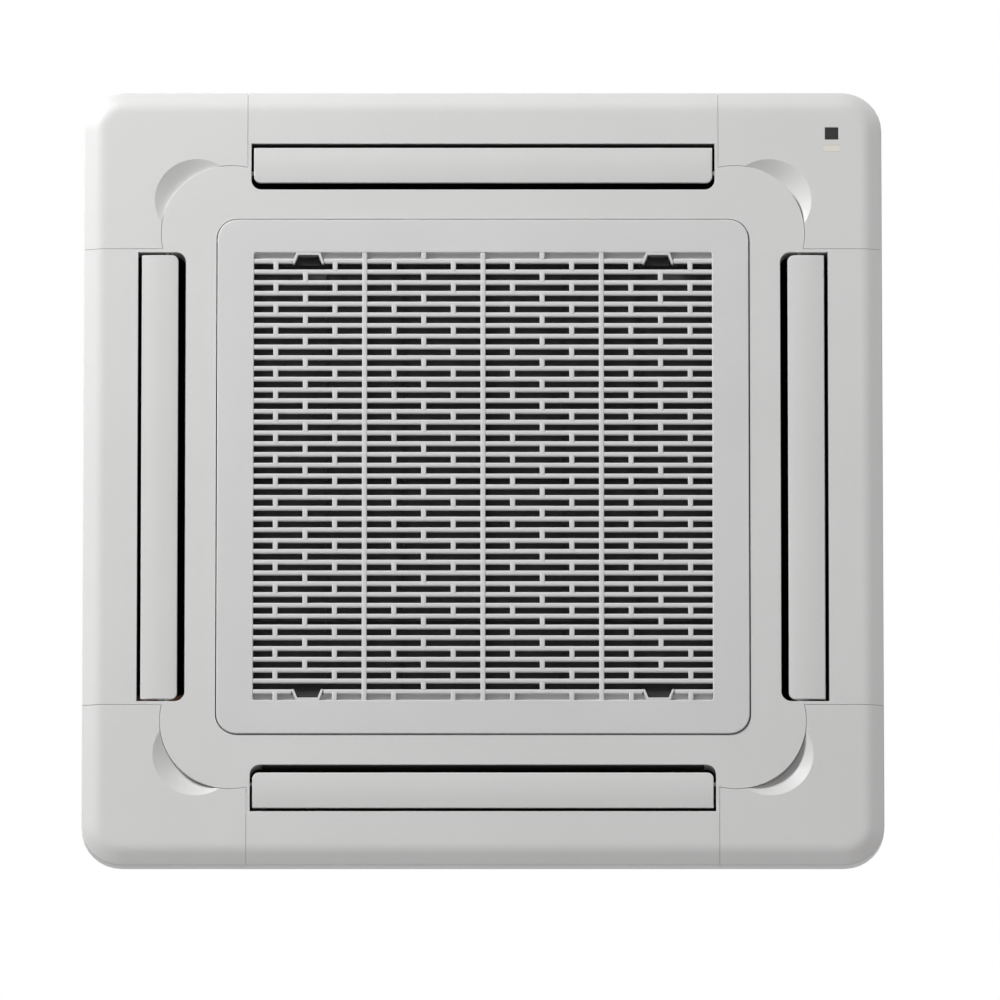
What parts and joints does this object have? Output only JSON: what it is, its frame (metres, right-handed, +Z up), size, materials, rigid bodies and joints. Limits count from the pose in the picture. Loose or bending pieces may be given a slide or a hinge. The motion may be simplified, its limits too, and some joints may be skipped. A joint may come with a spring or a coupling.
{
  "type": "ceiling cassette air conditioner",
  "caption": "Square ceiling cassette air conditioner: flat panel with a hinged intake grille, air vanes on all sides, pull-off corner covers, and a boxed fan and coil above.",
  "frame": {"origin": "midway between the four hanger slots, in the top plane of the hanger brackets", "axes": "+Z up as it hangs, the panel faces -Z; +Y towards the grille's latches, -Y towards its hinge, +X to the right of the picture"},
  "size_m": [0.95, 0.95, 0.281],
  "materials": {
    "panel_shell": "satin moulded ABS, very fine spark texture",
    "vane": "satin moulded ABS",
    "grille": "satin moulded ABS",
    "latch": "dark grey ABS",
    "window": "dark infrared window, polished",
    "lens": "frosted polycarbonate",
    "circuit": "glass epoxy board",
    "motor": "zinc plated steel can",
    "bush": "acetal",
    "seal": "closed-cell foam",
    "filter_frame": "polypropylene",
    "mesh": "woven polypropylene net",
    "screw": "zinc plated",
    "sheet_steel": "galvanised sheet steel",
    "foam": "expanded polystyrene",
    "black_plastic": "black polypropylene",
    "fan_plastic": "glass filled ABS",
    "rubber": "moulded rubber",
    "fins": "coated aluminium fin stock",
    "copper": "drawn copper tube",
    "brass": "machined brass",
    "pvc": "grey-white PVC",
    "transformer": "taped winding and steel laminations",
    "terminal": "moulded nylon"
  },
  "bodies": {
    "casing": {"panel_frame": "panel_shell", "inlet_collar": "panel_shell", "display_board": "circuit", "vane_motors": "motor", "vane_bushes": "bush", "panel_seals": "seal", "panel_brackets": "sheet_steel", "panel_screws": "screw", "casing_sides": "sheet_steel", "casing_top": "sheet_steel", "casing_insulation": "foam", "hanger_brackets": "sheet_steel", "drain_pan": "foam", "drain_plug": "rubber", "heat_exchanger_fins": "fins", "coil_end_plates": "sheet_steel", "coil_return_bends": "copper", "gas_pipe": "brass", "liquid_pipe": "brass", "pipe_plate": "sheet_steel", "cable_grommet": "rubber", "bell_mouth": "black_plastic", "bell_mouth_screws": "screw", "control_box": "sheet_steel", "control_box_cover": "sheet_steel", "control_box_screws": "screw", "circuit_board": "circuit", "transformer": "transformer", "terminal_block": "terminal", "fan_motor": "motor", "motor_mounts": "rubber", "motor_studs": "screw", "motor_nuts": "screw", "drain_pump": "pvc", "pump_bracket": "sheet_steel", "drain_pipe": "pvc", "float_switch": "pvc"},
    "vane_right": {"vane_right": "vane"},
    "vane_front": {"vane_front": "vane"},
    "vane_left": {"vane_left": "vane"},
    "vane_rear": {"vane_rear": "vane"},
    "cover_rear_right": {"corner_cover_rear_right": "panel_shell", "receiver_window": "window", "indicator_lens": "lens"},
    "cover_rear_left": {"corner_cover_rear_left": "panel_shell"},
    "cover_front_right": {"corner_cover_front_right": "panel_shell"},
    "cover_front_left": {"corner_cover_front_left": "panel_shell"},
    "grille": {"inlet_grille": "grille", "grille_catches": "latch", "air_filter_frame": "filter_frame", "filter_mesh": "mesh"},
    "latch_left": {"grille_latch_left": "latch"},
    "latch_right": {"grille_latch_right": "latch"},
    "fan": {"turbo_fan": "fan_plastic", "fan_nut": "screw", "motor_shaft": "motor"},
    "impeller": {"pump_impeller": "black_plastic"},
    "float": {"switch_float": "black_plastic"}
  },
  "joints": [
    {"name": "vane_right_swing", "type": "hinge", "parent": "casing", "child": "vane_right", "pos_m": [0.376, 0, -0.166], "axis": [0, 1, 0], "range_deg": [0, 60]},
    {"name": "vane_front_swing", "type": "hinge", "parent": "casing", "child": "vane_front", "pos_m": [0, 0.376, -0.166], "axis": [-1, 0, 0], "range_deg": [0, 60]},
    {"name": "vane_left_swing", "type": "hinge", "parent": "casing", "child": "vane_left", "pos_m": [-0.376, 0, -0.166], "axis": [0, -1, 0], "range_deg": [0, 60]},
    {"name": "vane_rear_swing", "type": "hinge", "parent": "casing", "child": "vane_rear", "pos_m": [0, -0.376, -0.166], "axis": [1, 0, 0], "range_deg": [0, 60]},
    {"name": "cover_rear_right_pull", "type": "slide", "parent": "casing", "child": "cover_rear_right", "axis": [0, 0, -1], "range_m": [0, 0.06]},
    {"name": "cover_rear_left_pull", "type": "slide", "parent": "casing", "child": "cover_rear_left", "axis": [0, 0, -1], "range_m": [0, 0.06]},
    {"name": "cover_front_right_pull", "type": "slide", "parent": "casing", "child": "cover_front_right", "axis": [0, 0, -1], "range_m": [0, 0.06]},
    {"name": "cover_front_left_pull", "type": "slide", "parent": "casing", "child": "cover_front_left", "axis": [0, 0, -1], "range_m": [0, 0.06]},
    {"name": "grille_hinge", "type": "hinge", "parent": "casing", "child": "grille", "pos_m": [0, -0.2915, -0.171], "axis": [-1, 0, 0], "range_deg": [0, 90]},
    {"name": "latch_left_slide", "type": "slide", "parent": "grille", "child": "latch_left", "axis": [0, -1, 0], "range_m": [0, 0.007]},
    {"name": "latch_right_slide", "type": "slide", "parent": "grille", "child": "latch_right", "axis": [0, -1, 0], "range_m": [0, 0.007]},
    {"name": "fan_spin", "type": "hinge", "parent": "casing", "child": "fan", "pos_m": [0, 0, 0.005], "axis": [0, 0, 1], "continuous": true},
    {"name": "pump_spin", "type": "hinge", "parent": "casing", "child": "impeller", "pos_m": [-0.318, 0.318, -0.123], "axis": [0, 0, 1], "continuous": true},
    {"name": "float_rise", "type": "slide", "parent": "casing", "child": "float", "axis": [0, 0, 1], "range_m": [0, 0.012]}
  ]
}
